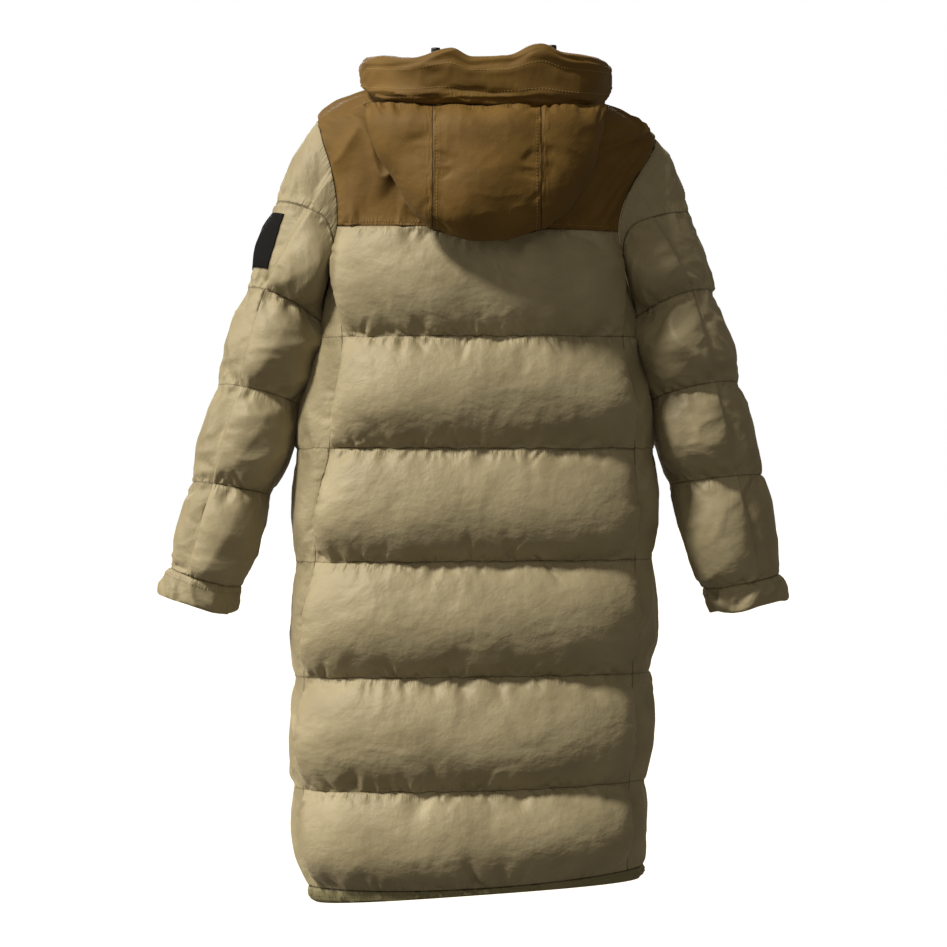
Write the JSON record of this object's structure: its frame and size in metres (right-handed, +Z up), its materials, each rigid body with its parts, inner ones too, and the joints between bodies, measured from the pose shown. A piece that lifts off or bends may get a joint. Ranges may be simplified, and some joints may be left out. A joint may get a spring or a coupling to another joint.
{
  "type": "long hooded puffer coat",
  "caption": "Long quilted puffer coat with a brown yoke and laid-back hood, filled out hollow with its sleeves, neck, hem and cuffs open.",
  "frame": {"origin": "middle of the shoulders, between the neck seam's two sides, where the wearer holds the coat", "axes": "+Z up the wearer's body, -Y out of the front, +X towards the wearer's left"},
  "size_m": [0.855, 0.3515, 1.1429],
  "materials": {
    "khaki_nylon": "smooth soft sheen",
    "brown_nylon": "smooth soft sheen",
    "olive_nylon": "matte",
    "black_patch": "matte woven",
    "black_tape": "matte woven",
    "black_plastic": "satin",
    "zip_metal": "dark plated metal"
  },
  "bodies": {
    "coat": {"back_panel": "khaki_nylon", "back_yoke": "brown_nylon", "collar": "brown_nylon", "cord_lock_left": "black_plastic", "cord_lock_right": "black_plastic", "cuff_left": "khaki_nylon", "cuff_right": "khaki_nylon", "front_left": "khaki_nylon", "front_right": "khaki_nylon", "front_yoke_left": "brown_nylon", "front_yoke_right": "brown_nylon", "hem_band": "olive_nylon", "hood_brim": "brown_nylon", "hood_centre": "brown_nylon", "hood_side_left": "brown_nylon", "hood_side_right": "brown_nylon", "side_panel_left": "khaki_nylon", "side_panel_right": "khaki_nylon", "sleeve_outer_left": "khaki_nylon", "sleeve_outer_right": "khaki_nylon", "sleeve_patch": "black_patch", "sleeve_under_left": "khaki_nylon", "sleeve_under_right": "khaki_nylon", "zip_slider": "zip_metal", "zip_tape": "black_tape"},
    "zip_pull": {"zip_pull": "zip_metal"}
  },
  "joints": [
    {"name": "zip_pull_hinge", "type": "hinge", "parent": "coat", "child": "zip_pull", "pos_m": [-0.0185, -0.09933, 0.03925], "axis": [-1, 0, 0], "range_deg": [0, 150]}
  ]
}
